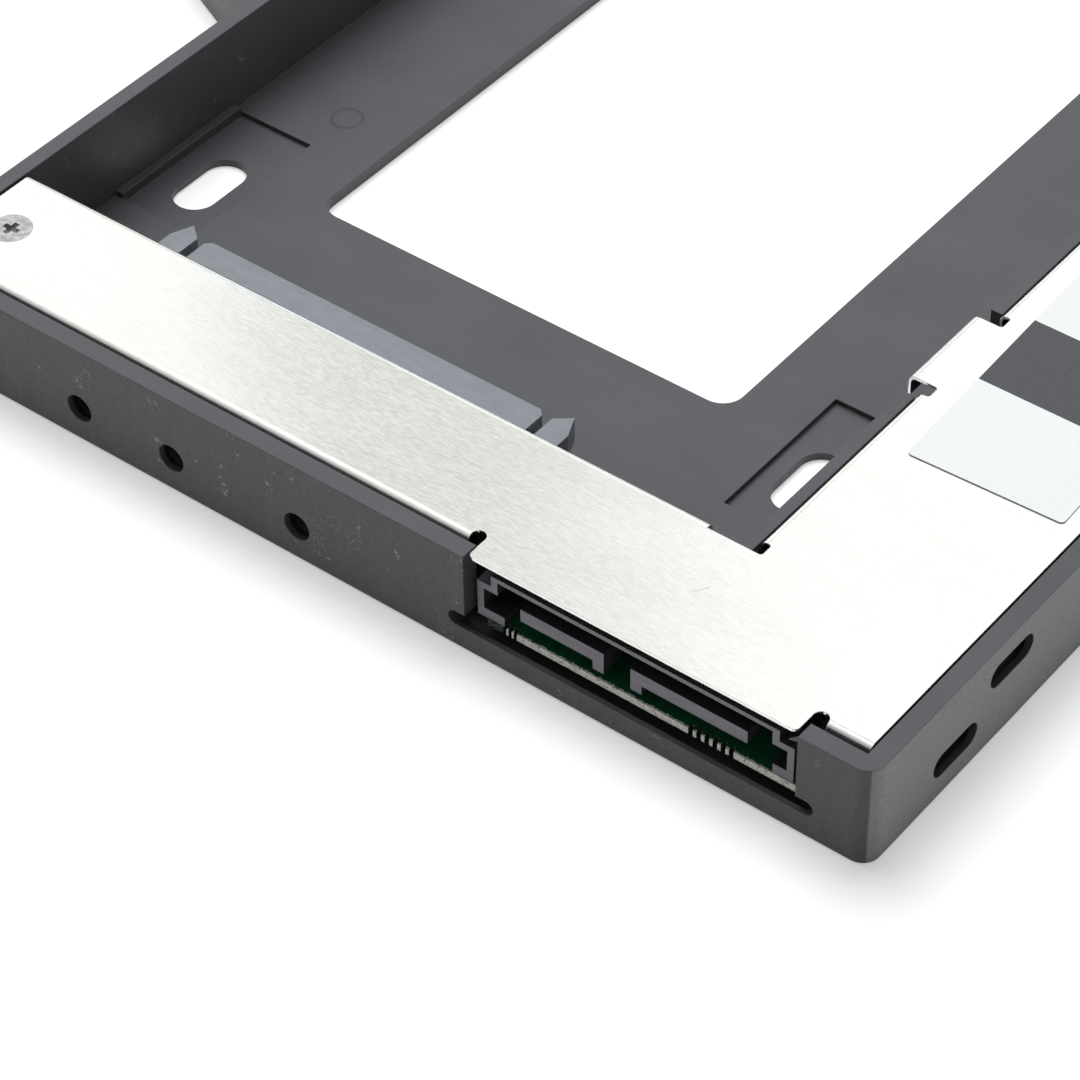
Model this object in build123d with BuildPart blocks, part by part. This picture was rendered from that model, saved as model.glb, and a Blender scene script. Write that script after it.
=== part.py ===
"""Slim hard drive caddy: a moulded tray that carries a 2.5 inch drive in a slim optical drive bay.

Millimetres, +Z up. The tray lies on its closed face with the open side up, and the rear end
with the host plug faces -Y. The origin is the centre of the outline on the resting face.
Places along X are distances from the right side, and places along Y are distances from the
rear face, so every feature keeps its place on the tray when the overall size changes.
"""
import os

from build123d import *

os.makedirs("parts", exist_ok=True)

# Tray: height of the slim bay, walls, side channel and wing
overall_height = 9.5
wall = 1.6
left_wall = 1.45
partition = 1.0
channel_width = 18.34
wing_width = 34.1
floor_thickness = 1.12
corner_radius = 1.5
foot_radius = 0.2

# Drive bay, for a 2.5 inch drive screwed through the floor
drive_width = 69.85
drive_end = 15.8
drive_length = 100.45
bay_side_gap = 0.83
bay_travel = 4.35
partition_gap = 0.2
partition_dip = 4.5
partition_dip_margin = 1.6

# Drive screw slots in the floor: standard bottom hole pattern of a 2.5 inch drive
screw_spacing_across = 61.72
screw_spacing_along = 76.6
first_screw_row = 14.0
screw_slot_width = 4.0
screw_slot_length = 7.5
screw_recess_depth = 0.45
screw_recess_length = 15.1
screw_recess_side = 3.65
ledge_width = 0.7
ledge_height = 0.45

# Large window in the floor
window_rear = 32.5
window_front = 98.5
window_width = 42.4
window_radius = 2.0

# Low wing beside the body
wing_height = 4.5
wing_rear_inner = 44.0
wing_rear_outer = 60.0
wing_pocket_radius = 0.8
wing_rib = 1.0
wing_rib_count = 3

# Front end box
front_wall = 1.6
front_box_depth = 2.8
front_rib = 1.0
front_rib_count = 5
bezel_slot_width = 6.0
bezel_slot_height = 2.4
bezel_slot_level = 4.6
bezel_slot_places = (14.0, 78.0)

# Fixing holes through the rear wall and the right wall, with the wall thinned behind them
hole_skin = 0.6
rear_pocket_radius = 2.0
rear_hole_radius = 1.25
rear_hole_level = 3.35
rear_hole_places = (52.2, 64.9, 74.5)
side_slot_height = 2.2
side_slot_length = 5.6
side_slot_low = (10.75, 3.2)
side_slot_high = (17.7, 6.6)
side_pocket_margin = 0.5

# Slot through the rear wall for the nose of the board
nose_slot_bottom = 2.2
nose_slot_top = 3.55
nose_slot_reach = 1.55
nose_slot_skin = 0.45

# Circuit board
board_thickness = 0.6
board_top = 3.4
board_right = 5.4
board_left_gap = 6.95
board_rear = 2.7
board_front = 12.8
board_nose_left = 34.5
board_nose_rear = 0.9
board_corner = 0.6
board_gap = 0.15
bite_depth = 0.57
bite_rows = ((12.48, 0.716, 6, 0.42), (31.95, 0.49, 3, 0.3))
board_screw_inset = 2.5
board_screw_rows = (6.6, 5.4)
board_rest_places = ((9.0, 10.6), (60.0, 7.0))

# Steel cover over the board and the side channel
sheet = 0.25
cover_drop = 0.1
cover_side_gap = 0.25
cover_rear = 2.05
cover_rear_step = 0.15
cover_inner = 14.1
cover_step = 0.75
cover_flange_end = 23.8
cover_inner_gap = 0.02
cover_front = 97.5
cover_flange = 2.3
bend_radius = 0.65
cover_corner = 0.5
tab_rear = 0.45
tab_gap = 0.08
opening_margin = 0.46
tab_right = 6.8
tab_left = 35.9
relief_width = 1.25
relief_depth = 0.5
notch_width = 1.3
notch_reach = 0.75
side_tab_rear = 36.42
side_tab_front = 45.3
side_tab_reach = 1.68
side_tab_flange = 1.9
cover_post_radius = 2.4
cover_post_gap = 1.45
cover_screw_rows = (8.0, 92.0)

# Small screws: pan heads on the board, flat heads flush in the cover
screw_radius = 1.0
screw_head_radius = 1.75
screw_head_height = 1.1
flat_head_height = 0.75
screw_cross = 0.5
board_screw_length = 2.5
cover_screw_length = 4.0
screw_end_gap = 0.2
boss_radius = 2.2

# Host plug: slimline plug, six power and seven signal contacts
plug_centre = 21.35
plug_face = 1.0
plug_depth = 7.6
plug_cavity = 4.6
plug_half = 14.15
plug_main_half = 12.85
plug_top = 7.9
plug_ear_top = 6.85
plug_skin = 0.4
plug_side_skin = 0.6
plug_foot = 0.9
plug_foot_half = 12.0
plug_foot_shift = 0.35
tongue_top = 6.1
tongue_thickness = 1.2
tongue_gap = 2.4
power_tongue = 7.6
signal_tongue = 10.3
tongue_key = 1.0
key_clearance = 0.65
power_pitch = 1.0
power_count = 6
signal_pitch = 1.27
signal_count = 7

# Drive socket: twenty two way socket, fifteen power and seven signal contacts
socket_offset = 4.3
socket_face = 19.7
socket_rear = 10.0
socket_half = 17.35
socket_chamfer = 0.5
socket_top = 5.6
socket_bottom = 2.3
socket_slot_centre = 4.45
socket_slot_height = 1.35
socket_slot_depth = 5.2
socket_slot_key = 0.9
socket_slot_gap = 2.2
drive_power_slot = 20.75
drive_signal_slot = 10.6
drive_power_count = 15
ear_gap = 0.85
ear_width = 2.2
ear_reach = 0.75
ear_tip = 0.85
ear_lead_in = 1.1
ear_lead_out = 1.95
flange_half = 21.35
flange_top = 6.3
flange_front = 13.4

# Contacts and board locks
contact_width = 0.5
contact_thickness = 0.2
contact_step = 0.3
contact_tail = 0.9
contact_clear = 0.15
contact_setback = 0.8
lock_radius = 0.45
lock_rise = 1.0
lock_proud = 0.5
lock_clearance = 0.1

# Chips on the board, each as length, width and height, with places on the board
ceramic_size = (1.6, 0.8, 0.8)
ceramic_places = ((43.0, 4.6), (46.0, 4.6), (49.0, 4.6), (66.0, 4.6), (69.0, 4.6), (72.0, 4.6))
resistor_size = (1.0, 0.5, 0.4)
resistor_places = ((54.0, 4.4), (54.0, 5.8), (56.4, 4.4), (56.4, 5.8))
tantalum_size = (3.5, 2.8, 1.9)
tantalum_places = ((62.0, 5.0), (77.0, 5.0))

# Insulating film under the cover, and the paper label on it
film_thickness = 0.15
film_right = 8.0
film_left_gap = 8.45
film_rear = 3.2
film_front = 12.9
label_thickness = 0.1
label_middle = (10.63, 47.02)
label_turn = 2.0
label_width = 13.4
label_length = 36.0
label_corner = 0.4

# Worked out from the sizes above: the tray, from the right side to the left and to the front
channel_left = wall + channel_width
bay_right = channel_left + partition
bay_left = bay_right + drive_width + 2 * bay_side_gap
bay_centre = (bay_left + bay_right) / 2
body_width = bay_left + left_wall
overall_width = body_width + wing_width
bay_front = drive_end + drive_length + bay_travel
front_box_rear = bay_front + front_rib
front_box_front = front_box_rear + front_box_depth
overall_depth = front_box_front + front_wall

# Worked out from the sizes above: the board, its screws and the cover
board_bottom = board_top - board_thickness
board_left = bay_left - board_left_gap
partition_start = board_front + partition_gap
board_screw_places = (
    (plug_centre + plug_half + board_screw_inset, board_screw_rows[0]),
    (board_left - board_screw_inset, board_screw_rows[1]),
)
cover_top = overall_height - cover_drop
cover_under = cover_top - sheet
cover_inner_edge = channel_left - cover_inner_gap
side_tab_edge = cover_inner_edge + side_tab_reach
cover_screw_places = (
    (bay_left - cover_post_gap - cover_post_radius, cover_screw_rows[0]),
    (wall + channel_width / 2, cover_screw_rows[1]),
)
film_left = bay_left - film_left_gap
socket_centre = bay_centre + socket_offset
slot_rows = [drive_end + first_screw_row + row * screw_spacing_along for row in range(2)]
slot_columns = [bay_centre + side * screw_spacing_across / 2 for side in (-1, 1)]
tongue_span = power_tongue + tongue_gap + signal_tongue
signal_right = plug_centre - tongue_span / 2
power_right = signal_right + signal_tongue + tongue_gap


def at_x(distance):
    """X of a place at this distance from the right side."""
    return overall_width / 2 - distance


def at_y(distance):
    """Y of a place at this distance from the rear face."""
    return distance - overall_depth / 2


def rear_plane(distance):
    """Upright plane at this distance from the rear face, seen from behind."""
    return Plane.XZ.offset(overall_depth / 2 - distance)


def side_plane(distance):
    """Upright plane at this distance from the right side, seen from the right."""
    return Plane.YZ.offset(at_x(distance))


def block(right, left, rear, front, bottom, top, mode=Mode.ADD):
    """Rectangular block between two distances each way, added to or cut from the open part."""
    with Locations((at_x((right + left) / 2), at_y((rear + front) / 2), (bottom + top) / 2)):
        Box(left - right, front - rear, top - bottom, mode=mode)


def post(place, radius, bottom, top, mode=Mode.ADD):
    """Round post between two heights, added to or cut from the open part."""
    with Locations((at_x(place[0]), at_y(place[1]), (bottom + top) / 2)):
        Cylinder(radius, top - bottom, mode=mode)


def cross_recess(place, top):
    """Crossed driver recess in a screw head, cut from the open part."""
    for long_x, long_y in ((1, 0), (0, 1)):
        half_x = screw_cross / 2 + long_x * screw_cross
        half_y = screw_cross / 2 + long_y * screw_cross
        block(place[0] - half_x, place[0] + half_x, place[1] - half_y, place[1] + half_y,
              top - screw_cross, top, Mode.SUBTRACT)


def row(centre, pitch, count):
    """Evenly spaced distances about a centre."""
    return [centre + (i - (count - 1) / 2) * pitch for i in range(count)]


# Screws, drawn first because the holes for them take their shape
with BuildPart() as board_screws:
    for place in board_screw_places:
        post(place, screw_radius, board_top - board_screw_length, board_top)
        post(place, screw_head_radius, board_top, board_top + screw_head_height)
        cross_recess(place, board_top + screw_head_height)
board_screws.part.label = "board_screws"
export_step(board_screws.part, "parts/board_screws.step")

with BuildPart() as cover_screws:
    for place in cover_screw_places:
        post(place, screw_radius, cover_top - cover_screw_length, cover_top - flat_head_height)
        with Locations((at_x(place[0]), at_y(place[1]), cover_top - flat_head_height / 2)):
            Cone(screw_radius, screw_head_radius, flat_head_height)
        cross_recess(place, cover_top)
cover_screws.part.label = "cover_screws"
export_step(cover_screws.part, "parts/cover_screws.step")

# Moulded tray
inner_top = cover_under
wing_slope = (wing_rear_outer - wing_rear_inner) / wing_width
with BuildPart() as tray_frame:
    with BuildSketch():
        with BuildLine():
            Polyline(
                (at_x(0), at_y(0)),
                (at_x(body_width), at_y(0)),
                (at_x(body_width), at_y(wing_rear_inner)),
                (at_x(overall_width), at_y(wing_rear_outer)),
                (at_x(overall_width), at_y(overall_depth)),
                (at_x(0), at_y(overall_depth)),
                close=True,
            )
        make_face()
        fillet(vertices(), corner_radius)
    extrude(amount=wing_height)
    with BuildSketch():
        with Locations((at_x(body_width / 2), 0)):
            Rectangle(body_width, overall_depth)
        fillet(vertices(), corner_radius)
    extrude(amount=overall_height)
    fillet(edges().group_by(Axis.Z)[0], foot_radius)

    # Drive bay, side channel and the way between them at the rear
    block(bay_right, bay_left, wall, bay_front, floor_thickness, overall_height, Mode.SUBTRACT)
    block(wall, channel_left, wall, bay_front, floor_thickness, overall_height, Mode.SUBTRACT)
    block(channel_left, bay_right, wall, partition_start, floor_thickness, overall_height, Mode.SUBTRACT)
    block(channel_left, bay_right, partition_start, bay_front, inner_top, overall_height, Mode.SUBTRACT)
    block(channel_left, bay_right, side_tab_rear - partition_dip_margin, side_tab_front + partition_dip_margin,
          partition_dip, overall_height, Mode.SUBTRACT)

    # Front end box with cross ribs
    block(wall, bay_left, front_box_rear, front_box_front, floor_thickness, overall_height, Mode.SUBTRACT)
    for rib in row((wall + bay_left) / 2, (bay_left - wall) / (front_rib_count + 1), front_rib_count):
        block(rib - front_rib / 2, rib + front_rib / 2, front_box_rear, front_box_front,
              floor_thickness, overall_height)
    with BuildSketch(rear_plane(overall_depth)):
        for place in bezel_slot_places:
            with Locations((at_x(place), bezel_slot_level)):
                Rectangle(bezel_slot_width, bezel_slot_height)
    extrude(amount=front_wall, mode=Mode.SUBTRACT)

    # Pockets of the wing, between its rim and its ribs
    with BuildSketch(Plane.XY.offset(floor_thickness)):
        with BuildLine():
            inner_rear = wing_rear_inner + wall * (1 + wing_slope)
            outer_rear = wing_rear_outer + wall
            Polyline(
                (at_x(body_width), at_y(inner_rear)),
                (at_x(overall_width - wall), at_y(outer_rear)),
                (at_x(overall_width - wall), at_y(overall_depth - front_wall)),
                (at_x(body_width), at_y(overall_depth - front_wall)),
                close=True,
            )
        make_face()
        fillet(vertices(), wing_pocket_radius)
        wing_pitch = (overall_depth - outer_rear) / (wing_rib_count + 1)
        for rib in row((outer_rear + overall_depth) / 2, wing_pitch, wing_rib_count):
            with Locations((at_x((body_width + overall_width) / 2), at_y(rib))):
                Rectangle(wing_width, wing_rib, mode=Mode.SUBTRACT)
    extrude(amount=wing_height, mode=Mode.SUBTRACT)

    # Window, screw recesses and screw slots in the floor
    with BuildSketch():
        with Locations((at_x(bay_centre), at_y((window_rear + window_front) / 2))):
            RectangleRounded(window_width, window_front - window_rear, window_radius)
        for y in slot_rows:
            for x in slot_columns:
                with Locations(Location((at_x(x), at_y(y)), 90)):
                    SlotOverall(screw_slot_length, screw_slot_width)
    extrude(amount=floor_thickness, mode=Mode.SUBTRACT)
    recess_bottom = floor_thickness - screw_recess_depth
    recess_reach = screw_spacing_across / 2 - screw_recess_side
    for y in slot_rows:
        recess_rear = y - screw_recess_length * 0.41
        recess_front = recess_rear + screw_recess_length
        block(bay_right, bay_centre - recess_reach, recess_rear, recess_front,
              recess_bottom, floor_thickness, Mode.SUBTRACT)
        block(bay_centre + recess_reach, bay_left - ledge_width, recess_rear, recess_front,
              recess_bottom, floor_thickness, Mode.SUBTRACT)
        block(bay_left - ledge_width, bay_left, recess_rear, recess_front,
              floor_thickness, floor_thickness + ledge_height)

    # Cross ribs of the side channel, and gussets of the right wall that carry the cover
    for rib in row((partition_start + cover_front) / 2, (cover_front - partition_start) / 3, 2):
        block(wall, channel_left, rib - front_rib / 2, rib + front_rib / 2,
              floor_thickness, overall_height / 2)
        block(wall, wall + 2 * front_rib, rib - front_rib / 2, rib + front_rib / 2,
              floor_thickness, inner_top)
    flange_bottom = cover_top - cover_flange
    cover_rest_left = cover_inner_edge - bend_radius - cover_side_gap
    block(wall, channel_left, cover_front - front_rib, cover_front,
          floor_thickness, flange_bottom - cover_side_gap)
    block(wall, cover_rest_left, cover_front - front_rib, cover_front, floor_thickness, inner_top)

    # Board bosses and rests, and the posts of the cover
    for place in board_screw_places:
        post(place, boss_radius, floor_thickness, board_bottom)
        post(place, screw_radius, board_top - board_screw_length - screw_end_gap, board_bottom, Mode.SUBTRACT)
    for place in board_rest_places:
        post(place, boss_radius / 2, floor_thickness, board_bottom)
    for place in cover_screw_places:
        post(place, cover_post_radius, floor_thickness, inner_top)
        post(place, screw_radius, cover_top - cover_screw_length - screw_end_gap, inner_top, Mode.SUBTRACT)
    add(cover_screws.part, mode=Mode.SUBTRACT)

    # Plug opening, and the wider slot below it for the board, with the wall thinned under the board
    opening_left = tab_left + tab_gap
    opening_right = tab_right - opening_margin
    nose_slot_level = (nose_slot_bottom + nose_slot_top) / 2
    block(opening_right, opening_left, 0, wall, nose_slot_level, overall_height, Mode.SUBTRACT)
    block(opening_right - nose_slot_reach / 2, opening_left + nose_slot_reach / 2, nose_slot_skin, wall,
          floor_thickness, nose_slot_level, Mode.SUBTRACT)
    with BuildSketch(rear_plane(0)):
        with Locations((at_x((opening_left + opening_right) / 2), nose_slot_level)):
            SlotOverall(opening_left - opening_right + 2 * nose_slot_reach, nose_slot_top - nose_slot_bottom)
        with Locations([(at_x(place), rear_hole_level) for place in rear_hole_places]):
            Circle(rear_hole_radius)
    extrude(amount=-wall, mode=Mode.SUBTRACT)

    # Fixing slots of the right wall, and the pockets behind all fixing holes
    side_levels = [(at_y(along), level) for along, level in (side_slot_low, side_slot_high)]
    side_levels += [(at_y(overall_depth - along), level) for along, level in (side_slot_low, side_slot_high)]
    with BuildSketch(side_plane(0)):
        with Locations(side_levels):
            SlotOverall(side_slot_length, side_slot_height)
    extrude(amount=-wall, mode=Mode.SUBTRACT)
    with BuildSketch(side_plane(hole_skin)):
        with Locations(side_levels):
            Rectangle(side_slot_length + 2 * side_pocket_margin, side_slot_height + 2 * side_pocket_margin)
    extrude(amount=hole_skin - wall, mode=Mode.SUBTRACT)
    with BuildSketch(rear_plane(hole_skin)):
        with Locations([(at_x(place), rear_hole_level) for place in rear_hole_places]):
            Circle(rear_pocket_radius)
    extrude(amount=hole_skin - wall, mode=Mode.SUBTRACT)
tray_frame.part.label = "tray_frame"
export_step(tray_frame.part, "parts/tray_frame.step")

# Folded steel cover: rear strip with a tab over the plug, and a side strip over the channel
cover_right = wall + cover_side_gap
cover_left = bay_left - cover_side_gap
with BuildPart() as cover_plate:
    block(cover_right, cover_left, cover_rear, cover_inner - cover_step, cover_under, cover_top)
    block(cover_flange_end, cover_left, cover_rear, cover_inner, cover_under, cover_top)
    block(cover_right, cover_inner_edge, cover_rear, cover_front, cover_under, cover_top)
    block(cover_inner_edge - sheet, side_tab_edge, side_tab_rear, side_tab_front, cover_under, cover_top)
    corner_rear = cover_rear + cover_rear_step
    block(cover_right, tab_right - relief_width / 2, cover_rear, corner_rear, cover_under, cover_top, Mode.SUBTRACT)
    with BuildSketch(Plane.XY.offset(cover_under)):
        with Locations((at_x((tab_left + tab_right) / 2), at_y((tab_rear + cover_rear) / 2))):
            Rectangle(tab_left - tab_right, cover_rear - tab_rear)
        fillet(vertices().group_by(Axis.Y)[0], cover_corner)
    extrude(amount=sheet)

    # Flanges down along the rear edge, the inner edge, the channel side and the side tab
    block(tab_left, cover_left, cover_rear, cover_rear + sheet, flange_bottom, cover_under)
    block(cover_right, tab_right, corner_rear, corner_rear + sheet, flange_bottom, cover_under)
    block(side_tab_edge - sheet, side_tab_edge, side_tab_rear, side_tab_front,
          cover_top - side_tab_flange, cover_under)
    block(cover_flange_end, cover_left, cover_inner - sheet, cover_inner, flange_bottom, cover_under)
    for flange_from, flange_to in ((cover_inner, side_tab_rear - notch_width / 2),
                                   (side_tab_front + notch_width / 2, cover_front)):
        block(cover_inner_edge - sheet, cover_inner_edge, flange_from, flange_to, flange_bottom, cover_under)

    # Relief slots beside the tab, notches at the inner corner and beside the side tab
    with BuildSketch(Plane.XY.offset(flange_bottom)):
        for relief in (tab_left + relief_width / 2, tab_right - relief_width / 2):
            with Locations(Location((at_x(relief), at_y(cover_rear)), 90)):
                SlotOverall(2 * (relief_depth + relief_width / 2), relief_width)
        notch_right = cover_inner_edge - sheet - notch_reach
        for relief in (side_tab_rear - notch_width / 2, side_tab_front + notch_width / 2):
            with Locations((at_x((side_tab_edge + notch_reach + notch_right) / 2), at_y(relief))):
                RectangleRounded(side_tab_edge + notch_reach - notch_right, notch_width, cover_corner / 2)
        notch_rear = cover_inner - cover_step
        with Locations((at_x(notch_right + notch_width), at_y(notch_rear + notch_width / 2))):
            RectangleRounded(2 * notch_width, notch_width, cover_corner / 2)
    extrude(amount=cover_flange, mode=Mode.SUBTRACT)

    # Rolled bends where the flanges turn down, first inside the sheet and then outside
    for inset, level, radius in ((sheet, cover_under, bend_radius - sheet), (0, cover_top, bend_radius)):
        bend_rows = [at_y(cover_rear + inset), at_y(corner_rear + inset), at_y(cover_inner - inset)]
        bend_columns = [at_x(cover_inner_edge - inset), at_x(side_tab_edge - inset)]
        level_edges = edges().filter_by(lambda e: abs(e.center().Z - level) < sheet / 4)
        along_x = level_edges.filter_by(lambda e: min(abs(e.center().Y - y) for y in bend_rows) < sheet / 4)
        along_y = level_edges.filter_by(lambda e: min(abs(e.center().X - x) for x in bend_columns) < sheet / 4)
        straight = along_x.filter_by(Axis.X) + along_y.filter_by(Axis.Y)
        fillet([edge for edge in straight if edge.length > 2 * relief_width], radius)
    for place in cover_screw_places:
        with Locations((at_x(place[0]), at_y(place[1]), cover_top - flat_head_height / 2)):
            Cone(screw_radius, screw_head_radius, flat_head_height, mode=Mode.SUBTRACT)
cover_plate.part.label = "cover_plate"
export_step(cover_plate.part, "parts/cover_plate.step")


def contacts(places, under, begin, end, tail_level):
    """Strip contacts that run back along a tongue and step down to the board.

    They are drawn in the open part, one at each place, between two distances from the rear.
    """
    middle = under + contact_thickness / 2
    foot = tail_level + contact_thickness / 2
    onward = 1 if end > begin else -1
    for place in places:
        with BuildSketch(side_plane(place)) as section:
            with BuildLine():
                Polyline(
                    (at_y(begin), middle),
                    (at_y(end), middle),
                    (at_y(end + onward * contact_step), foot),
                    (at_y(end + onward * (contact_step + contact_tail)), foot),
                )
            trace(line_width=contact_thickness)
        extrude(section.sketch, amount=contact_width / 2, both=True)


# Contacts of the host plug, under its tongues
tongue_under = tongue_top - tongue_thickness
plug_rear = plug_face + plug_depth
signal_middle = signal_right + signal_tongue / 2 - tongue_key / 2
power_middle = power_right + power_tongue / 2 + tongue_key / 2
with BuildPart() as host_signal_contacts:
    contacts(row(signal_middle, signal_pitch, signal_count), tongue_under,
             plug_face + contact_setback, plug_rear + contact_clear, board_top)
host_signal_contacts.part.label = "host_signal_contacts"
export_step(host_signal_contacts.part, "parts/host_signal_contacts.step")

with BuildPart() as host_power_contacts:
    contacts(row(power_middle, power_pitch, power_count), tongue_under,
             plug_face + contact_setback, plug_rear + contact_clear, board_top)
host_power_contacts.part.label = "host_power_contacts"
export_step(host_power_contacts.part, "parts/host_power_contacts.step")

# Metal locks that hold the host plug to the board
ear_middle = (plug_half + plug_foot_half) / 2
lock_row = plug_face + plug_cavity + (plug_depth - plug_cavity) / 2
with BuildPart() as host_plug_locks:
    for side in (-1, 1):
        post((plug_centre + side * ear_middle, lock_row), lock_radius,
             board_bottom - lock_proud, board_top + lock_rise)
host_plug_locks.part.label = "host_plug_locks"
export_step(host_plug_locks.part, "parts/host_plug_locks.step")

# Host plug: an open shell round two keyed tongues, with a solid rear
with BuildPart() as host_plug_housing:
    with BuildSketch(rear_plane(plug_face)):
        with Locations((at_x(plug_centre), (board_top + plug_ear_top) / 2)):
            Rectangle(2 * plug_half, plug_ear_top - board_top)
        with Locations((at_x(plug_centre), (board_top + plug_top) / 2)):
            Rectangle(2 * plug_main_half, plug_top - board_top)
    extrude(amount=-plug_depth)
    with BuildSketch(rear_plane(plug_face)):
        foot_top = board_top + plug_foot
        with Locations((at_x(plug_centre), (foot_top + plug_ear_top - plug_side_skin) / 2)):
            Rectangle(2 * (plug_half - plug_side_skin), plug_ear_top - plug_side_skin - foot_top)
        with Locations((at_x(plug_centre), (foot_top + plug_top - plug_skin) / 2)):
            Rectangle(2 * (plug_main_half - plug_side_skin), plug_top - plug_skin - foot_top)
        with Locations((at_x(plug_centre - plug_foot_shift), (board_top + foot_top) / 2)):
            Rectangle(2 * plug_foot_half, plug_foot)
    extrude(amount=-plug_cavity, mode=Mode.SUBTRACT)
    key_bottom = board_top + key_clearance
    with BuildSketch(rear_plane(plug_face)):
        tongue_middle = (tongue_under + tongue_top) / 2
        key_middle = (key_bottom + tongue_top) / 2
        with Locations((at_x(signal_right + signal_tongue / 2), tongue_middle)):
            Rectangle(signal_tongue, tongue_thickness)
        with Locations((at_x(power_right + power_tongue / 2), tongue_middle)):
            Rectangle(power_tongue, tongue_thickness)
        with Locations((at_x(signal_right + signal_tongue - tongue_key / 2), key_middle)):
            Rectangle(tongue_key, tongue_top - key_bottom)
        with Locations((at_x(power_right + tongue_key / 2), key_middle)):
            Rectangle(tongue_key, tongue_top - key_bottom)
    extrude(amount=-plug_cavity)
    add(host_signal_contacts.part, mode=Mode.SUBTRACT)
    add(host_power_contacts.part, mode=Mode.SUBTRACT)
    add(host_plug_locks.part, mode=Mode.SUBTRACT)
host_plug_housing.part.label = "host_plug_housing"
export_step(host_plug_housing.part, "parts/host_plug_housing.step")

# Contacts of the drive socket, along the lower side of its two slots
socket_slot_top = socket_slot_centre + socket_slot_height / 2
socket_slot_under = socket_slot_centre - socket_slot_height / 2
slots_span = drive_power_slot + socket_slot_gap + drive_signal_slot
drive_signal_right = socket_centre - slots_span / 2
drive_power_right = drive_signal_right + drive_signal_slot + socket_slot_gap
drive_signal_middle = drive_signal_right + (drive_signal_slot - tongue_key) / 2
drive_power_middle = drive_power_right + (drive_power_slot + tongue_key) / 2
with BuildPart() as drive_signal_contacts:
    contacts(row(drive_signal_middle, signal_pitch, signal_count), socket_slot_under,
             socket_face - contact_setback, socket_rear - contact_clear, board_top)
drive_signal_contacts.part.label = "drive_signal_contacts"
export_step(drive_signal_contacts.part, "parts/drive_signal_contacts.step")

with BuildPart() as drive_power_contacts:
    contacts(row(drive_power_middle, signal_pitch, drive_power_count), socket_slot_under,
             socket_face - contact_setback, socket_rear - contact_clear, board_top)
drive_power_contacts.part.label = "drive_power_contacts"
export_step(drive_power_contacts.part, "parts/drive_power_contacts.step")

# Metal locks that hold the drive socket to the board
socket_lock_row = (socket_rear + board_front) / 2
with BuildPart() as drive_socket_locks:
    for side in (-1, 1):
        post((socket_centre + side * (flange_half - ear_width), socket_lock_row), lock_radius,
             board_bottom - lock_proud, board_top + lock_rise)
drive_socket_locks.part.label = "drive_socket_locks"
export_step(drive_socket_locks.part, "parts/drive_socket_locks.step")

# Drive socket: a bar with two keyed slots, guide ears beside it and a flange at the rear
with BuildPart() as drive_socket_housing:
    block(socket_centre - socket_half, socket_centre + socket_half, socket_rear, socket_face,
          board_top, socket_top)
    block(socket_centre - socket_half, socket_centre + socket_half, board_front + board_gap,
          socket_face, socket_bottom, board_top)
    chamfer(edges().filter_by(Axis.Z).group_by(Axis.Y)[-1], socket_chamfer)
    block(socket_centre - flange_half, socket_centre + flange_half, socket_rear, flange_front,
          board_top, flange_top)
    for side in (-1, 1):
        ear_root = socket_centre + side * (socket_half + ear_gap)
        ear_front = socket_face + ear_reach
        with BuildSketch(Plane.XY.offset(board_top)):
            with BuildLine():
                Polyline(
                    (at_x(ear_root), at_y(flange_front)),
                    (at_x(ear_root), at_y(ear_front - ear_lead_in)),
                    (at_x(ear_root + side * (ear_width - ear_tip)), at_y(ear_front)),
                    (at_x(ear_root + side * ear_width), at_y(ear_front - ear_lead_out)),
                    (at_x(ear_root + side * ear_width), at_y(flange_front)),
                    close=True,
                )
            make_face()
        extrude(amount=socket_top - board_top)
    with BuildSketch(rear_plane(socket_face)):
        slot_middle = (socket_slot_under + socket_slot_top) / 2
        key_level = socket_slot_under - socket_slot_key / 2
        with Locations((at_x(drive_signal_right + drive_signal_slot / 2), slot_middle)):
            Rectangle(drive_signal_slot, socket_slot_height)
        with Locations((at_x(drive_power_right + drive_power_slot / 2), slot_middle)):
            Rectangle(drive_power_slot, socket_slot_height)
        with Locations((at_x(drive_signal_right + drive_signal_slot - tongue_key / 2), key_level)):
            Rectangle(tongue_key, socket_slot_key)
        with Locations((at_x(drive_power_right + tongue_key / 2), key_level)):
            Rectangle(tongue_key, socket_slot_key)
    extrude(amount=socket_slot_depth, mode=Mode.SUBTRACT)
    add(drive_signal_contacts.part, mode=Mode.SUBTRACT)
    add(drive_power_contacts.part, mode=Mode.SUBTRACT)
    add(drive_socket_locks.part, mode=Mode.SUBTRACT)
drive_socket_housing.part.label = "drive_socket_housing"
export_step(drive_socket_housing.part, "parts/drive_socket_housing.step")

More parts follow.
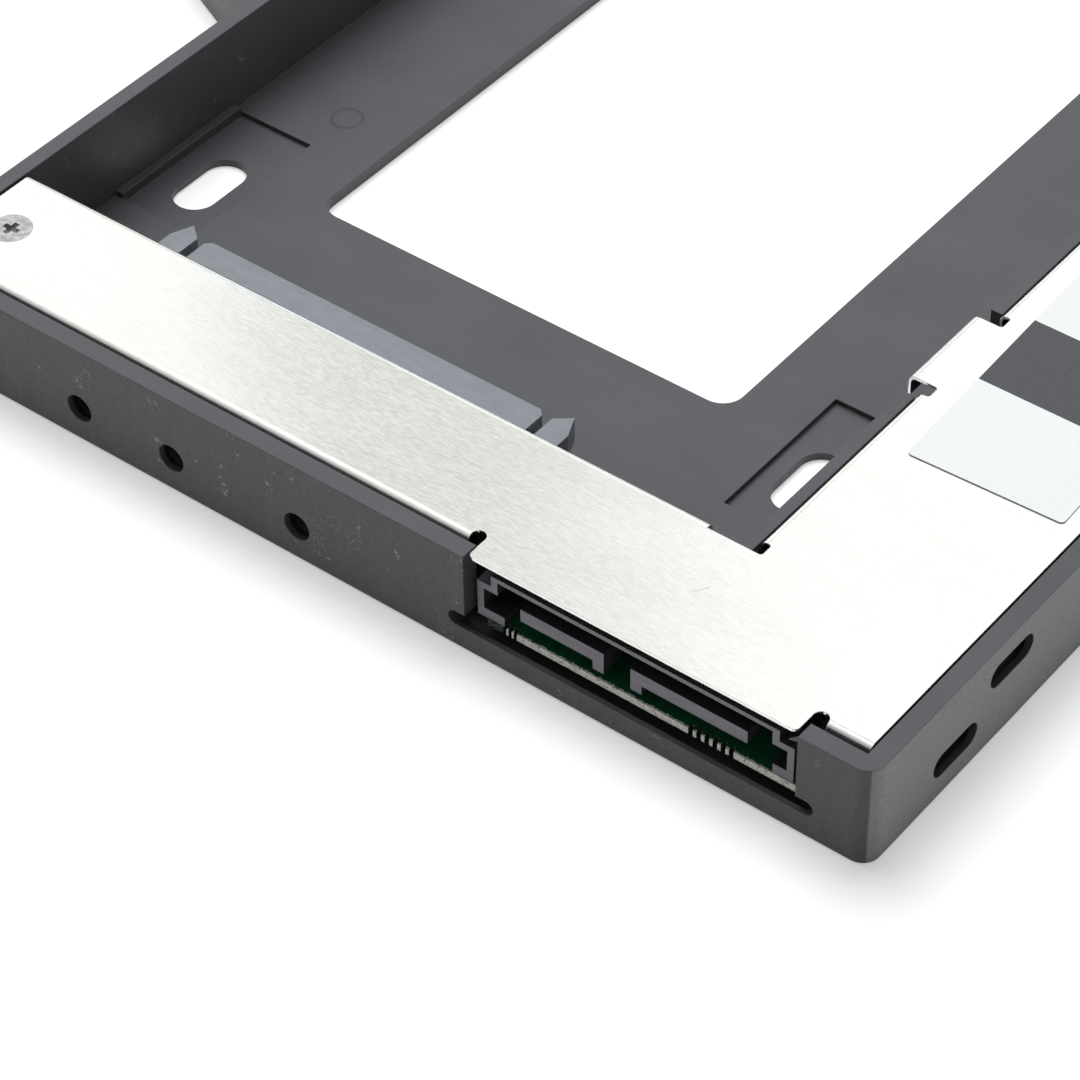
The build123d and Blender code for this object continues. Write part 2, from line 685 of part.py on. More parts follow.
# Circuit board, with a nose through the rear wall and a row of break-off bites along its edge
with BuildPart() as circuit_board:
    with BuildSketch(Plane.XY.offset(board_bottom)):
        with Locations((at_x((board_left + board_right) / 2), at_y((board_rear + board_front) / 2))):
            RectangleRounded(board_left - board_right, board_front - board_rear, board_corner)
        nose_front = board_rear + 2 * board_corner
        with Locations((at_x((board_nose_left + board_right) / 2), at_y((board_nose_rear + nose_front) / 2))):
            Rectangle(board_nose_left - board_right, nose_front - board_nose_rear)
        for bite_start, bite_pitch, bite_count, bite_width in bite_rows:
            bites = [(at_x(bite_start + i * bite_pitch), at_y(board_nose_rear)) for i in range(bite_count)]
            with Locations([Location(bite, 90) for bite in bites]):
                SlotOverall(2 * bite_depth, bite_width, mode=Mode.SUBTRACT)
        with Locations([(at_x(x), at_y(y)) for x, y in board_screw_places]):
            Circle(screw_radius + lock_clearance, mode=Mode.SUBTRACT)
        with Locations([(at_x(plug_centre + side * ear_middle), at_y(lock_row)) for side in (-1, 1)]):
            Circle(lock_radius + lock_clearance, mode=Mode.SUBTRACT)
        with Locations([
            (at_x(socket_centre + side * (flange_half - ear_width)), at_y(socket_lock_row))
            for side in (-1, 1)
        ]):
            Circle(lock_radius + lock_clearance, mode=Mode.SUBTRACT)
    extrude(amount=board_thickness)
circuit_board.part.label = "circuit_board"
export_step(circuit_board.part, "parts/circuit_board.step")


def chips(places, size):
    """Small rectangular chips standing on the board, drawn in the open part."""
    length, width, height = size
    for x, y in places:
        block(x - length / 2, x + length / 2, y - width / 2, y + width / 2, board_top, board_top + height)


with BuildPart() as ceramic_capacitors:
    chips(ceramic_places, ceramic_size)
ceramic_capacitors.part.label = "ceramic_capacitors"
export_step(ceramic_capacitors.part, "parts/ceramic_capacitors.step")

with BuildPart() as chip_resistors:
    chips(resistor_places, resistor_size)
chip_resistors.part.label = "chip_resistors"
export_step(chip_resistors.part, "parts/chip_resistors.step")

with BuildPart() as tantalum_capacitors:
    chips(tantalum_places, tantalum_size)
    chamfer(edges().group_by(Axis.Z)[-1], tantalum_size[2] / 8)
tantalum_capacitors.part.label = "tantalum_capacitors"
export_step(tantalum_capacitors.part, "parts/tantalum_capacitors.step")

# Thin insulating film under the cover, above the board
with BuildPart() as insulating_film:
    block(film_right, film_left, film_rear, film_front, cover_under - film_thickness, cover_under)
insulating_film.part.label = "insulating_film"
export_step(insulating_film.part, "parts/insulating_film.step")

# Plain paper label on the side strip of the cover
with BuildPart() as paper_label:
    with BuildSketch(Plane.XY.offset(cover_top)):
        with Locations(Location((at_x(label_middle[0]), at_y(label_middle[1])), label_turn)):
            RectangleRounded(label_width, label_length, label_corner)
    extrude(amount=label_thickness)
paper_label.part.label = "paper_label"
export_step(paper_label.part, "parts/paper_label.step")
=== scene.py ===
"""Looks of the slim hard drive caddy: moulded plastic tray, brushed steel cover, board and plugs.

Metres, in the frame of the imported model: +Z up, the rear end with the host plug faces -Y. Places
on the object are millimetres from its right side and from its rear face, as in the part's source.
"""

import math

import bmesh
import bpy
from mathutils import Matrix, Vector


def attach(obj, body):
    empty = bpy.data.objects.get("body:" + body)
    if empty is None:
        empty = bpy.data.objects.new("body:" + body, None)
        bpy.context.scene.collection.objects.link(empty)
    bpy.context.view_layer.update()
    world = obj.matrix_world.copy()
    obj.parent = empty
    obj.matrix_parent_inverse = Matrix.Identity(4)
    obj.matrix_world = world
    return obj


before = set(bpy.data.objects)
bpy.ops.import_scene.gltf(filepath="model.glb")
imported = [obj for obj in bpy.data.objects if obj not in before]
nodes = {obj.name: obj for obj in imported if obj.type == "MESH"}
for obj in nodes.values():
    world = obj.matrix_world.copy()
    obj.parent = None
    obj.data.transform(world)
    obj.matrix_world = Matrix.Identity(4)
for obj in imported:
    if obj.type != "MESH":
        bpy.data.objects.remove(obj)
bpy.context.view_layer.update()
MM = 0.001

# Sizes of the tray that the looks line up with, in millimetres
HALF_WIDTH = 64.0
HALF_DEPTH = 63.0
BODY_WIDTH = 93.9
WALL = 1.6
WALL_TOP = 9.5
FLOOR_TOP = 1.12
CORNER_RADIUS = 1.5
FACE_REACH = 0.2

# Small marks on the tray and the cover, in millimetres
EJECTOR_MARK = (83.8, 43.4)
EJECTOR_RADIUS = 1.35
FLOOR_SPECKS = ((24.92, 28.71), (24.8, 26.67))
STEEL_HAIR = (20.35, 7.74)
HAIR_TO_CENTRE = (2.0, 1.5)

# Moulding flash on the jamb beside the plug: its outline on the rear face, and its depths
JAMB_EDGE = 6.34
FLASH_OUTLINE = ((JAMB_EDGE, WALL_TOP - 0.03), (7.15, 8.78), (JAMB_EDGE, 8.95))
FLASH_DEPTHS = (0.02, 0.1)

# Board nose, contacts and label, in millimetres
NOSE_REAR = 0.9
NOSE_TORN_LEFT = 32.83
CONTACT_PITCH = 1.27
LABEL_BAND = (39.1, 47.5)

# Chips in rows, in millimetres: place of the first, how far along X the colours repeat, and half
# the length of the body between its tinned ends
CERAMIC_ROW = (43.0, 1.0, 0.4)
RESISTOR_ROW = (54.0, 2.4, 0.33)
TANTALUM_ROW = (62.0, 15.0, 1.5)

# A face counts as facing an axis when its normal is at least this much along it
FACING = 0.7

# Floor in metres: half its size, how far it lies below the object, and how its glow to the eye
# and in gloss grows with distance from the object
FLOOR_HALF_SIZE = 3.0
FLOOR_DROP = 0.00005
FLOOR_GREY = (0.72, 0.72, 0.72)
GLOW_DISTANCES = (0.15, 0.9)
GLOW_STRENGTHS = (0.43, 1.0)

# Levels of the surroundings as gloss mirrors them, by direction: across the room from left to
# right, and from the near side through overhead to the far side
ACROSS_DIRECTION = (0.789, 0.614, 0.0)
ACROSS = ((-0.65, 0.77), (-0.35, 1.0), (-0.1, 1.0), (-0.072, 0.58), (-0.025, 0.6), (0.0, 0.71),
          (0.034, 0.88), (0.06, 1.0), (0.35, 1.0), (0.65, 0.77))
NEAR_TO_FAR = ((-0.75, 0.4), (-0.58, 0.54), (-0.3, 0.85), (0.0, 1.0), (0.7, 1.0), (0.92, 0.77))
MIRRORED = 1.22
FILL = 0.16

# Key lamp, a square panel in metres and watts that faces the object
KEY_PLACE = (-0.36, 0.25, 1.15)
KEY_SIZE = 0.9
KEY_POWER = 15.8

# Camera at the photograph's view, with its lens and sensor in millimetres
LENS = 126.966
SENSOR_WIDTH = 36.0
CAMERA_CLIP = (0.01, 20.0)
CAMERA_PLACE = (0.15672, -0.21571, 0.19975)
CAMERA_RIGHT = (0.78914022, 0.61410822, -0.01134948)
CAMERA_UP = (-0.41532474, 0.54713092, 0.72674144)
CAMERA_BACK = (0.45250754, -0.56878718, 0.68681735)


def at_x(place):
    """X in metres of a place at this distance from the right side."""
    return (HALF_WIDTH - place) * MM


def at_y(place):
    """Y in metres of a place at this distance from the rear face."""
    return (place - HALF_DEPTH) * MM


class Nodes:
    """A node tree that is built up node by node."""

    def __init__(self, tree):
        self.tree = tree

    def node(self, kind, inputs=None, **settings):
        made = self.tree.nodes.new(kind)
        for name, value in settings.items():
            setattr(made, name, value)
        for name, value in (inputs or {}).items():
            self.give(made.inputs[name], value)
        return made

    def give(self, socket, value):
        """Link another socket to this one, or set its plain value."""
        if isinstance(value, bpy.types.NodeSocket):
            self.tree.links.new(value, socket)
        else:
            socket.default_value = value

    def maths(self, operation, first, second=0.0):
        return self.node("ShaderNodeMath", {0: first, 1: second}, operation=operation).outputs[0]

    def difference(self, first, second):
        """How far two numbers are apart."""
        return self.maths("ABSOLUTE", self.maths("SUBTRACT", first, second))

    def vector_number(self, operation, *vectors):
        """Number that an operation makes of vectors."""
        inputs = dict(enumerate(vectors))
        return self.node("ShaderNodeVectorMath", inputs, operation=operation).outputs["Value"]

    def axis(self, index, vector):
        """One coordinate of a vector."""
        return self.node("ShaderNodeSeparateXYZ", {0: vector}).outputs[index]

    def span(self, value, low, high, to_low=0.0, to_high=1.0):
        """Value spread from one range to another, and held at its ends."""
        return self.node("ShaderNodeMapRange", {
            "Value": value, "From Min": low, "From Max": high, "To Min": to_low, "To Max": to_high,
        }).outputs["Result"]

    def all_of(self, first, *others):
        """Product of masks and strengths."""
        for other in others:
            first = self.maths("MULTIPLY", first, other)
        return first

    def any_of(self, first, *others):
        """Strongest of masks."""
        for other in others:
            first = self.maths("MAXIMUM", first, other)
        return first

    def flipped(self, mask):
        return self.maths("SUBTRACT", 1.0, mask)

    def blend(self, factor, first, second):
        """Number that goes from the first to the second with a factor."""
        return self.node("ShaderNodeMix", {"Factor": factor, "A": first, "B": second}).outputs["Result"]

    def ray_is(self, *kinds):
        """1 for the kinds of ray named, 0 for the rest."""
        path = self.node("ShaderNodeLightPath")
        return self.any_of(*[path.outputs[f"Is {kind} Ray"] for kind in kinds])

    def ramp(self, value, stops):
        """Level that follows a value through these stops, held level beyond them."""
        low, high = stops[0][0], stops[-1][0]
        colours = self.node("ShaderNodeValToRGB", {"Fac": self.span(value, low, high)})
        elements = colours.color_ramp.elements
        for stop, _ in stops[1:-1]:
            elements.new((stop - low) / (high - low))
        for element, (_, level) in zip(elements, stops):
            element.color = (level, level, level, 1)
        return colours.outputs["Color"]


class Look(Nodes):
    """A procedural material. Its sizes are in millimetres."""

    def __init__(self, name, colour, roughness, metallic=0.0):
        self.material = bpy.data.materials.new(name)
        self.material.use_nodes = True
        super().__init__(self.material.node_tree)
        self.set("Base Color", (*colour, 1))
        self.set("Roughness", roughness)
        self.set("Metallic", metallic)
        self.place = self.node("ShaderNodeTexCoord").outputs["Object"]

    def set(self, name, value):
        """Link or set an input of the shader."""
        self.give(self.tree.nodes["Principled BSDF"].inputs[name], value)

    def mix(self, factor, first, second):
        """Colour that goes from the first to the second with a factor."""
        made = self.node("ShaderNodeMix", {0: factor}, data_type="RGBA")
        for index, colour in ((6, first), (7, second)):
            self.give(made.inputs[index], (*colour, 1) if isinstance(colour, tuple) else colour)
        return made.outputs[2]

    def tinted(self, base, colour, mask, strength):
        """Base with another colour over it, this strong where the mask is 1."""
        return self.mix(self.maths("MULTIPLY", mask, strength), base, colour)

    def along(self, index):
        """Coordinate of the place along an axis, in metres."""
        return self.axis(index, self.place)

    def stretched(self, x, y, z):
        """Place scaled along each axis, which draws out noise where the scale is small."""
        return self.node("ShaderNodeMapping", {"Vector": self.place, "Scale": (x, y, z)}).outputs["Vector"]

    def noise(self, size, detail=2.0, vector=None, rough=0.5, distortion=0.0):
        """Soft noise whose blobs are about this many millimetres across."""
        return self.node("ShaderNodeTexNoise", {
            "Vector": vector or self.place, "Scale": 1 / (size * MM), "Detail": detail,
            "Roughness": rough, "Distortion": distortion,
        }).outputs["Fac"]

    def spread(self, noise, to_low=0.0, to_high=1.0):
        """Soft noise, which mostly stays near its middle, spread between two levels."""
        return self.span(noise, 0.3, 0.7, to_low, to_high)

    def surface_normal(self):
        return self.node("ShaderNodeNewGeometry").outputs["Normal"]

    def facing(self, index):
        """How far the surface faces along an axis, either way."""
        return self.maths("ABSOLUTE", self.axis(index, self.surface_normal()))

    def upright(self):
        """1 on faces that stand upright, 0 on level ones."""
        return self.maths("LESS_THAN", self.facing(2), FACING)

    def within(self, distance, sure, limit):
        """1 up to one distance and 0 past another, softly between them."""
        return self.span(distance, sure * MM, limit * MM, 1.0, 0.0)

    def from_place(self, place):
        """Distance in metres from a place, seen from above."""
        level = self.node("ShaderNodeCombineXYZ", {0: self.along(0), 1: self.along(1)}).outputs[0]
        return self.vector_number("DISTANCE", level, (at_x(place[0]), at_y(place[1]), 0))

    def circle(self, place, radius, width):
        """1 along a thin circle that is seen from above."""
        return self.within(self.difference(self.from_place(place), radius * MM), width / 2, width)

    def lint(self, size, width, islands):
        """Thin curved threads, lines of equal level in noise, kept to scattered islands."""
        threads = self.maths("LESS_THAN", self.difference(self.noise(size, detail=1.0), 0.5), width)
        return self.all_of(threads, self.span(self.noise(islands, detail=1.0), 0.64, 0.68))

    def dust(self, spacing, share):
        """Scattered specks of uneven size, up to this share of their spacing."""
        scattered = self.node("ShaderNodeTexVoronoi", {"Vector": self.place, "Scale": 1 / (spacing * MM)})
        sizes = self.span(self.noise(2 * spacing, detail=1.0), 0.5, 0.75, 0.0, share)
        return self.maths("LESS_THAN", scattered.outputs["Distance"], sizes)

    def bump(self, height, depth, normal=None):
        """Normal with bumps this deep, on top of the surface's own normal or another one."""
        made = self.node("ShaderNodeBump", {"Height": height, "Distance": depth * MM, "Strength": 1.0})
        if normal:
            self.give(made.inputs["Normal"], normal)
        return made.outputs["Normal"]

    def soft_edges(self, radius):
        """Normal that rounds every edge by this radius."""
        return self.node("ShaderNodeBevel", {"Radius": radius * MM}, samples=4).outputs["Normal"]

    def edge_wear(self, radius, soft):
        """1 in patches along edges, where a rounded normal leaves the flat one."""
        same = self.vector_number("DOT_PRODUCT", self.surface_normal(), soft)
        patches = self.noise(radius * 8, detail=3.0)
        return self.all_of(self.span(same, 0.99, 0.86), self.span(patches, 0.38, 0.62))


def outer_side_faces(look):
    """1 on the outer faces of the tray's right wall, left wall and wing."""
    body_left = look.difference(look.along(0), at_x(BODY_WIDTH))
    return look.any_of(look.maths("GREATER_THAN", look.maths("ABSOLUTE", look.along(0)), at_x(WALL)),
                       look.maths("LESS_THAN", body_left, FACE_REACH * MM))


def corner_crease(look):
    """1 along the upright parting line down the middle of the rear right corner."""
    across = look.maths("SUBTRACT", look.maths("ADD", look.along(0), look.along(1)),
                        (HALF_WIDTH - HALF_DEPTH) * MM)
    outward = look.maths("SUBTRACT", look.along(0), look.along(1))
    corner_reach = HALF_WIDTH + HALF_DEPTH - CORNER_RADIUS
    return look.all_of(look.within(look.maths("ABSOLUTE", across), sure=0.06, limit=0.16),
                       look.maths("GREATER_THAN", outward, corner_reach * MM))


def tray_plastic():
    """Dark grey moulded plastic: eroded grain on the side walls, smoother rear wall and floor."""
    look = Look("tray_plastic", (0.088, 0.090, 0.098), 0.42)
    wall = look.upright()
    level = look.flipped(wall)
    sideways = look.maths("GREATER_THAN", look.facing(0), look.facing(1))
    eroded = look.all_of(wall, sideways, outer_side_faces(look))
    rear = look.all_of(wall, look.flipped(sideways))

    # Mottled grey, darker on upright faces along Y as painted shade, and paler where the grain is eroded,
    # partly as painted light
    dark_patch = (0.081, 0.083, 0.091)
    light_patch = (0.094, 0.096, 0.105)
    rear_painted_shade = (0.049, 0.0485, 0.0515)
    # The outer side walls' paler grey is partly the eroded grain's own tone and partly painted light
    eroded_and_painted_light_grey = (0.235, 0.235, 0.241)
    mottle = look.noise(size=9.0, detail=3.0)
    base = look.mix(look.spread(mottle), dark_patch, light_patch)
    base = look.mix(rear, base, rear_painted_shade)
    base = look.mix(eroded, base, eroded_and_painted_light_grey)

    # Pale peaks of the grain, which show fully where it is eroded and faintly on faces along Y
    grain_grey = (0.33, 0.332, 0.34)
    grain = look.noise(size=0.22)
    grained = look.any_of(eroded, look.maths("MULTIPLY", rear, 0.1))
    peaks = look.all_of(look.span(grain, 0.4, 0.66), grained)
    base = look.tinted(base, grain_grey, peaks, strength=0.6)

    # Faint upright draw marks on faces along Y and faint streaks on level faces
    draw_grey = (0.1, 0.101, 0.107)
    draw = look.noise(size=0.9, detail=3.0, vector=look.stretched(1.0, 1.0, 0.12))
    draw_marks = look.all_of(look.span(draw, 0.45, 0.75), rear)
    base = look.tinted(base, draw_grey, draw_marks, strength=0.3)
    flow_grey = (0.115, 0.12, 0.13)
    flow = look.noise(size=2.4, detail=3.0, vector=look.stretched(0.2, 1.0, 1.0))
    flow_marks = look.all_of(look.span(flow, 0.5, 0.75), level)
    base = look.tinted(base, flow_grey, flow_marks, strength=0.22)

    # Parting line down the corner, edge wear and an ejector mark on the floor
    crease_grey = (0.21, 0.215, 0.225)
    base = look.tinted(base, crease_grey, look.all_of(corner_crease(look), wall), strength=0.5)
    edge_radius = 0.12
    soft = look.soft_edges(edge_radius)
    wear_grey = (0.17, 0.175, 0.185)
    base = look.tinted(base, wear_grey, look.edge_wear(edge_radius, soft), strength=0.4)
    mark_grey = (0.045, 0.047, 0.052)
    low_down = look.maths("LESS_THAN", look.along(2), 2 * FLOOR_TOP * MM)
    mark = look.all_of(look.circle(EJECTOR_MARK, EJECTOR_RADIUS, width=0.14), level, low_down)
    base = look.tinted(base, mark_grey, mark, strength=0.25)

    # Dust and lint that has settled on the walls, and two specks on the floor
    dust_grey = (0.42, 0.42, 0.43)
    settled = look.any_of(look.lint(size=0.9, width=0.01, islands=2.2), look.dust(spacing=1.5, share=0.09))
    off_specks = [look.from_place(place) for place in FLOOR_SPECKS]
    specks = look.any_of(*[look.within(distance, sure=0.08, limit=0.13) for distance in off_specks])
    settled = look.any_of(look.all_of(settled, wall), look.all_of(specks, level))
    base = look.tinted(base, dust_grey, settled, strength=0.6)

    look.set("Base Color", base)
    look.set("Specular IOR Level", 0.43)
    moulded_gloss = look.spread(look.noise(size=0.6, detail=3.0), 0.36, 0.46)
    look.set("Roughness", look.any_of(moulded_gloss, look.maths("MULTIPLY", eroded, 0.5)))
    height = look.maths("MULTIPLY", grain, look.any_of(eroded, look.span(rear, 0.0, 1.0, 0.12, 0.35)))
    height = look.maths("SUBTRACT", height, look.maths("MULTIPLY", mark, 1.5))
    look.set("Normal", look.bump(height, depth=0.04, normal=soft))
    return look.material


def brushed_steel():
    """Bright rolled steel sheet with fine, short and slightly wavy streaks, and one hair on it."""
    look = Look("brushed_steel", (0.86, 0.88, 0.85), 0.15, metallic=1.0)
    dull = (0.82, 0.845, 0.80)
    bright = (0.945, 0.96, 0.925)
    fine = look.noise(size=1.0, detail=3.0, vector=look.stretched(1.3, 9.0, 9.0), distortion=0.4)
    broad = look.noise(size=6.0, vector=look.stretched(0.5, 1.6, 1.6))
    tone = look.maths("ADD", look.maths("MULTIPLY", fine, 0.75), look.maths("MULTIPLY", broad, 0.25))
    sheet = look.mix(look.span(tone, 0.38, 0.62), dull, bright)

    hair_grey = (0.2, 0.2, 0.19)
    hair_centre = (STEEL_HAIR[0] + HAIR_TO_CENTRE[0], STEEL_HAIR[1] + HAIR_TO_CENTRE[1])
    near_hair = look.within(look.from_place(STEEL_HAIR), sure=0.7, limit=0.9)
    hair = look.all_of(look.circle(hair_centre, math.hypot(*HAIR_TO_CENTRE), width=0.035), near_hair)
    look.set("Base Color", look.tinted(sheet, hair_grey, hair, strength=0.6))
    look.set("Roughness", look.spread(fine, 0.12, 0.2))
    look.set("Anisotropic", 0.4)
    brushing = look.node("ShaderNodeTangent", direction_type="RADIAL", axis="X")
    look.set("Tangent", brushing.outputs["Tangent"])
    look.set("Normal", look.bump(fine, depth=0.0022, normal=look.soft_edges(radius=0.13)))
    return look.material


def solder_mask():
    """Green board with faint tracks, whose cut rear edge shows bare, torn glass fibre."""
    look = Look("solder_mask", (0.012, 0.15, 0.062), 0.3)
    turns = look.maths("MULTIPLY", look.along(0), 2 * math.pi / (CONTACT_PITCH * MM))
    tracks = look.maths("GREATER_THAN", look.maths("SINE", turns), 0.35)
    green = look.mix(tracks, (0.011, 0.140, 0.058), (0.013, 0.158, 0.066))

    # Bare fibre on the nose's rear face and, raggedly, on a strip beside it
    rough = look.noise(size=0.25, detail=3.0)
    wall = look.upright()
    rear_face = look.all_of(wall, look.maths("LESS_THAN", look.along(1), at_y(NOSE_REAR + 0.03)))
    ragged = look.maths("ADD", look.along(1), look.span(rough, 0.2, 0.8, -0.14 * MM, 0.14 * MM))
    strip = look.all_of(look.flipped(wall), look.maths("LESS_THAN", ragged, at_y(NOSE_REAR + 0.18)))
    torn = look.maths("GREATER_THAN", look.along(0), at_x(NOSE_TORN_LEFT))
    bare = look.all_of(look.any_of(rear_face, strip), torn)
    strands = look.span(look.noise(size=0.24, detail=4.0, rough=0.7), 0.32, 0.48)
    fibre = look.mix(strands, (0.16, 0.15, 0.11), (0.95, 0.94, 0.86))
    # Upright faces away from the bare fibre are near black: partly the cut edge's own colour, partly
    # painted shade
    cut_edge_and_painted_shade = look.mix(look.span(rough, 0.4, 0.7), (0.012, 0.016, 0.010), (0.05, 0.055, 0.035))

    look.set("Base Color", look.mix(bare, look.mix(wall, green, cut_edge_and_painted_shade), fibre))
    look.set("Roughness", look.span(bare, 0.0, 1.0, 0.26, 0.8))
    height = look.maths("MULTIPLY", rough, look.any_of(bare, wall))
    look.set("Normal", look.bump(height, depth=0.12))
    return look.material


def moulded(name, dark, light, roughness, inner=None):
    """Glass filled connector plastic with faint flow marks and paler edges.

    With an inner colour, only faces along Y are pale, and the others take that colour as painted shade.
    """
    look = Look(name, light, roughness)
    flow = look.noise(size=0.8, detail=3.0, vector=look.stretched(0.4, 1.0, 2.0))
    edge_radius = 0.06
    soft = look.soft_edges(edge_radius)
    pale = tuple(min(1.0, 1.7 * part) for part in light)
    body = look.mix(look.spread(flow), dark, light)
    body = look.tinted(body, pale, look.edge_wear(edge_radius, soft), strength=0.35)
    if inner:
        # Faces not along Y take the inner colour, painted shade on tops and sides that lie in shadow
        body = look.mix(look.maths("GREATER_THAN", look.facing(1), FACING), inner, body)
    look.set("Base Color", body)
    look.set("Roughness", look.spread(look.noise(size=0.25), roughness - 0.06, roughness + 0.08))
    look.set("Normal", look.bump(look.noise(size=0.12), depth=0.008, normal=soft))
    return look.material


def metal(name, dark, light, roughness):
    """Plated metal with slight tarnish."""
    look = Look(name, light, roughness, metallic=1.0)
    tarnish = look.noise(size=0.5, detail=3.0)
    look.set("Base Color", look.mix(look.span(tarnish, 0.35, 0.7), dark, light))
    look.set("Roughness", look.spread(tarnish, roughness + 0.08, roughness - 0.04))
    look.set("Normal", look.bump(look.noise(size=0.08), depth=0.003, normal=look.soft_edges(radius=0.04)))
    return look.material


def label_paper():
    """Coated white paper with one plain dark band across it and slightly grey cut edges."""
    look = Look("label_paper", (0.93, 0.95, 0.95), 0.5)
    fibre = look.noise(size=0.35, detail=4.0)
    paper = look.mix(look.spread(fibre), (0.91, 0.94, 0.945), (0.95, 0.97, 0.97))
    ink = look.mix(look.spread(fibre), (0.055, 0.058, 0.066), (0.08, 0.084, 0.093))
    band_start, band_end = LABEL_BAND
    in_band = look.all_of(look.maths("GREATER_THAN", look.along(1), at_y(band_start)),
                          look.maths("LESS_THAN", look.along(1), at_y(band_end)))
    edge_grey = (0.42, 0.44, 0.45)
    look.set("Base Color", look.mix(look.upright(), look.mix(in_band, paper, ink), edge_grey))
    look.set("Roughness", look.spread(fibre, 0.42, 0.56))
    look.set("Normal", look.bump(look.noise(size=0.15), depth=0.005, normal=look.soft_edges(radius=0.03)))
    return look.material


def chip(name, dark, light, row):
    """Chip body with tinned ends, for chips in a row along X."""
    first, repeat, body_half = row
    look = Look(name, light, 0.4)
    from_first = look.maths("SUBTRACT", look.along(0), at_x(first))
    off_centre = look.maths("PINGPONG", from_first, repeat * MM / 2)
    ends = look.maths("GREATER_THAN", off_centre, body_half * MM)
    body = look.mix(look.spread(look.noise(size=0.3)), dark, light)
    tinned = (0.70, 0.70, 0.68)
    look.set("Base Color", look.mix(ends, body, tinned))
    look.set("Metallic", ends)
    look.set("Roughness", look.spread(look.noise(size=0.2), 0.3, 0.48))
    look.set("Normal", look.bump(look.noise(size=0.1), depth=0.006, normal=look.soft_edges(radius=0.04)))
    return look.material


plastic = tray_plastic()
steel = brushed_steel()
gold = metal("gold_plating", dark=(0.62, 0.42, 0.13), light=(0.86, 0.62, 0.24), roughness=0.28)
tin = metal("tin_plating", dark=(0.55, 0.55, 0.54), light=(0.74, 0.74, 0.72), roughness=0.38)
zinc = metal("zinc_screw", dark=(0.42, 0.43, 0.44), light=(0.66, 0.67, 0.68), roughness=0.32)
finishes = {
    "tray_frame": plastic,
    "cover_plate": steel,
    "circuit_board": solder_mask(),
    "host_plug_housing": moulded(
        "plug_plastic", dark=(0.20, 0.193, 0.222), light=(0.25, 0.243, 0.275), roughness=0.42,
        # Near-black inner colour: painted shade on the plug's tops and sides
        inner=(0.035, 0.034, 0.04)),
    "drive_socket_housing": moulded(
        "socket_plastic", dark=(0.225, 0.245, 0.275), light=(0.265, 0.285, 0.32), roughness=0.45),
    "host_signal_contacts": gold,
    "host_power_contacts": gold,
    "drive_signal_contacts": gold,
    "drive_power_contacts": gold,
    "host_plug_locks": tin,
    "drive_socket_locks": tin,
    "ceramic_capacitors": chip(
        "ceramic", dark=(0.30, 0.20, 0.12), light=(0.42, 0.29, 0.18), row=CERAMIC_ROW),
    "chip_resistors": chip(
        "resistor_glaze", dark=(0.010, 0.010, 0.011), light=(0.020, 0.020, 0.022), row=RESISTOR_ROW),
    "tantalum_capacitors": chip(
        "tantalum_resin", dark=(0.48, 0.26, 0.03), light=(0.60, 0.34, 0.05), row=TANTALUM_ROW),
    "board_screws": zinc,
    "cover_screws": zinc,
    "insulating_film": moulded(
        "film_plastic", dark=(0.012, 0.012, 0.013), light=(0.02, 0.02, 0.022), roughness=0.3),
    "paper_label": label_paper(),
}
for name, node in nodes.items():
    node.data.materials.clear()
    node.data.materials.append(finishes[name])


def put_in_scene(name, form, material):
    """Turn a mesh under construction into an object of the scene."""
    mesh = bpy.data.meshes.new(name)
    form.to_mesh(mesh)
    form.free()
    mesh.materials.append(material)
    piece = bpy.data.objects.new(name, mesh)
    bpy.context.scene.collection.objects.link(piece)
    return piece


def make_jamb_flash():
    """Thin sliver of moulding flash at the top of the jamb beside the plug."""
    form = bmesh.new()
    outer, inner = [
        [form.verts.new((at_x(place), at_y(depth), level * MM)) for place, level in FLASH_OUTLINE]
        for depth in FLASH_DEPTHS
    ]
    form.faces.new(outer)
    form.faces.new(reversed(inner))
    for i in range(len(outer)):
        after = (i + 1) % len(outer)
        form.faces.new((outer[after], outer[i], inner[i], inner[after]))
    bmesh.ops.recalc_face_normals(form, faces=form.faces)
    piece = put_in_scene("jamb_flash", form, plastic)
    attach(piece, "root")


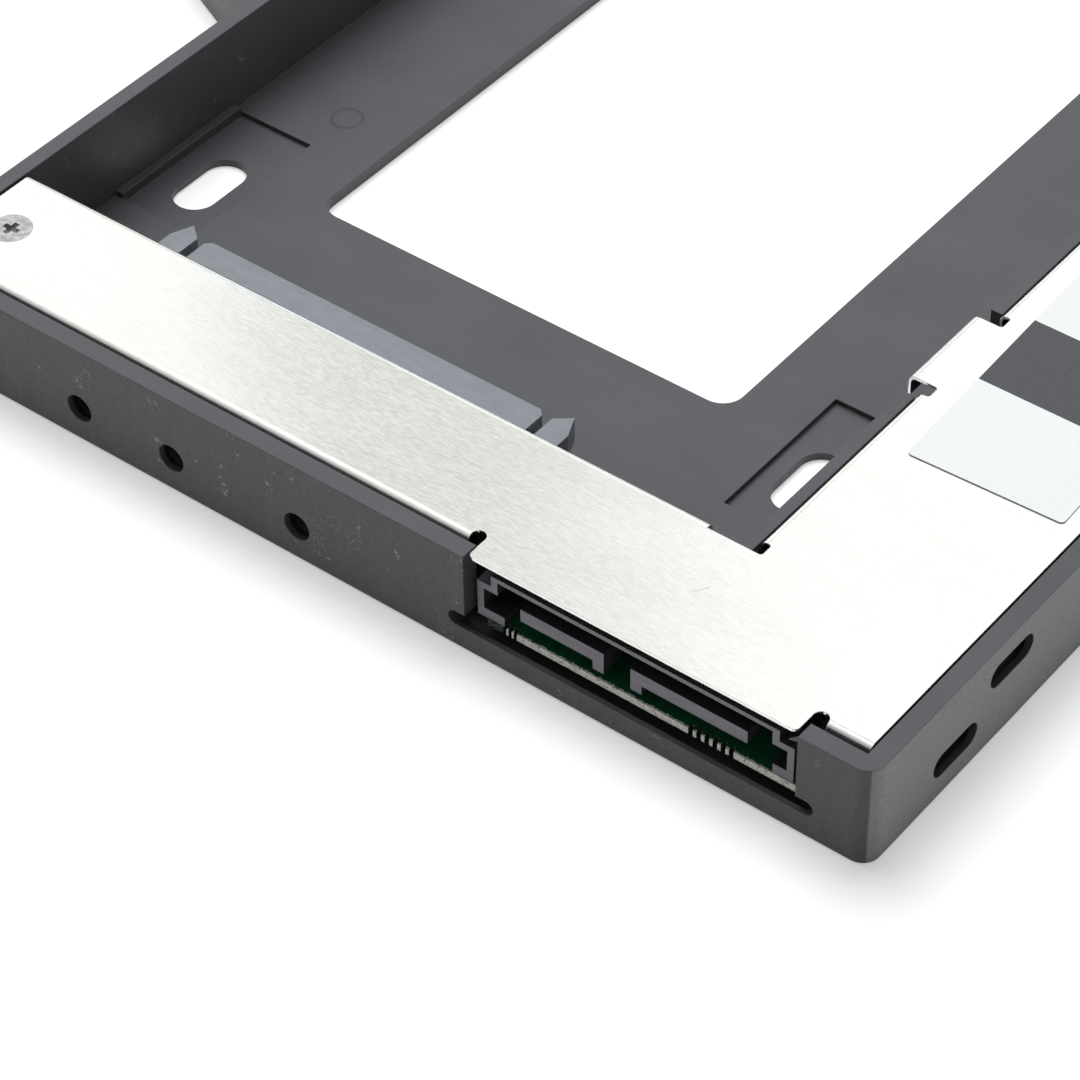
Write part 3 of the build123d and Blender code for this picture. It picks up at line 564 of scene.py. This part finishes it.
def make_floor():
    """Plain pale floor. What sees it directly finds it white but for the object's shadow."""
    look = Look("floor_white", FLOOR_GREY, 0.9)
    look.set("Specular IOR Level", 0.1)
    look.set("Emission Color", (1, 1, 1, 1))
    away = look.vector_number("LENGTH", look.place)
    glow = look.span(away, *GLOW_DISTANCES, *GLOW_STRENGTHS)
    look.set("Emission Strength", look.all_of(look.ray_is("Camera", "Glossy", "Transmission"), glow))
    form = bmesh.new()
    bmesh.ops.create_grid(form, x_segments=1, y_segments=1, size=FLOOR_HALF_SIZE)
    floor = put_in_scene("floor", form, look.material)
    floor.location.z = -FLOOR_DROP


def make_world():
    """White surroundings to the eye, a plain fill as light, and softly uneven panels in gloss."""
    world = bpy.data.worlds.new("studio")
    bpy.context.scene.world = world
    world.use_nodes = True
    sky = Nodes(world.node_tree)
    direction = sky.node("ShaderNodeTexCoord").outputs["Generated"]
    across = sky.vector_number("DOT_PRODUCT", direction, ACROSS_DIRECTION)
    near_to_far = sky.axis(1, direction)
    panels = sky.all_of(sky.ramp(across, ACROSS), sky.ramp(near_to_far, NEAR_TO_FAR), MIRRORED)
    unseen = sky.blend(sky.ray_is("Glossy", "Transmission"), FILL, panels)
    background = sky.tree.nodes["Background"]
    sky.give(background.inputs["Color"], (1, 1, 1, 1))
    sky.give(background.inputs["Strength"], sky.blend(sky.ray_is("Camera"), unseen, 1.0))


def make_key_softbox():
    """Soft lamp over the far left side. Gloss doesn't mirror it, only the world's panels."""
    lamp = bpy.data.lights.new("key_softbox", "AREA")
    lamp.shape = "SQUARE"
    lamp.size = KEY_SIZE
    lamp.energy = KEY_POWER
    softbox = bpy.data.objects.new("key_softbox", lamp)
    bpy.context.scene.collection.objects.link(softbox)
    softbox.location = KEY_PLACE
    softbox.rotation_mode = "QUATERNION"
    softbox.rotation_quaternion = (-Vector(KEY_PLACE)).to_track_quat("-Z", "Y")
    softbox.visible_glossy = False


def make_camera():
    """Camera at the photograph's view."""
    data = bpy.data.cameras.new("camera")
    data.sensor_width = SENSOR_WIDTH
    data.lens = LENS
    data.clip_start, data.clip_end = CAMERA_CLIP
    camera = bpy.data.objects.new("camera", data)
    bpy.context.scene.collection.objects.link(camera)
    bpy.context.scene.camera = camera
    view = Matrix((CAMERA_RIGHT, CAMERA_UP, CAMERA_BACK)).transposed().to_4x4()
    view.translation = CAMERA_PLACE
    camera.matrix_world = view


make_jamb_flash()
make_floor()
make_world()
make_key_softbox()
make_camera()

bpy.context.scene.view_settings.view_transform = "Standard"
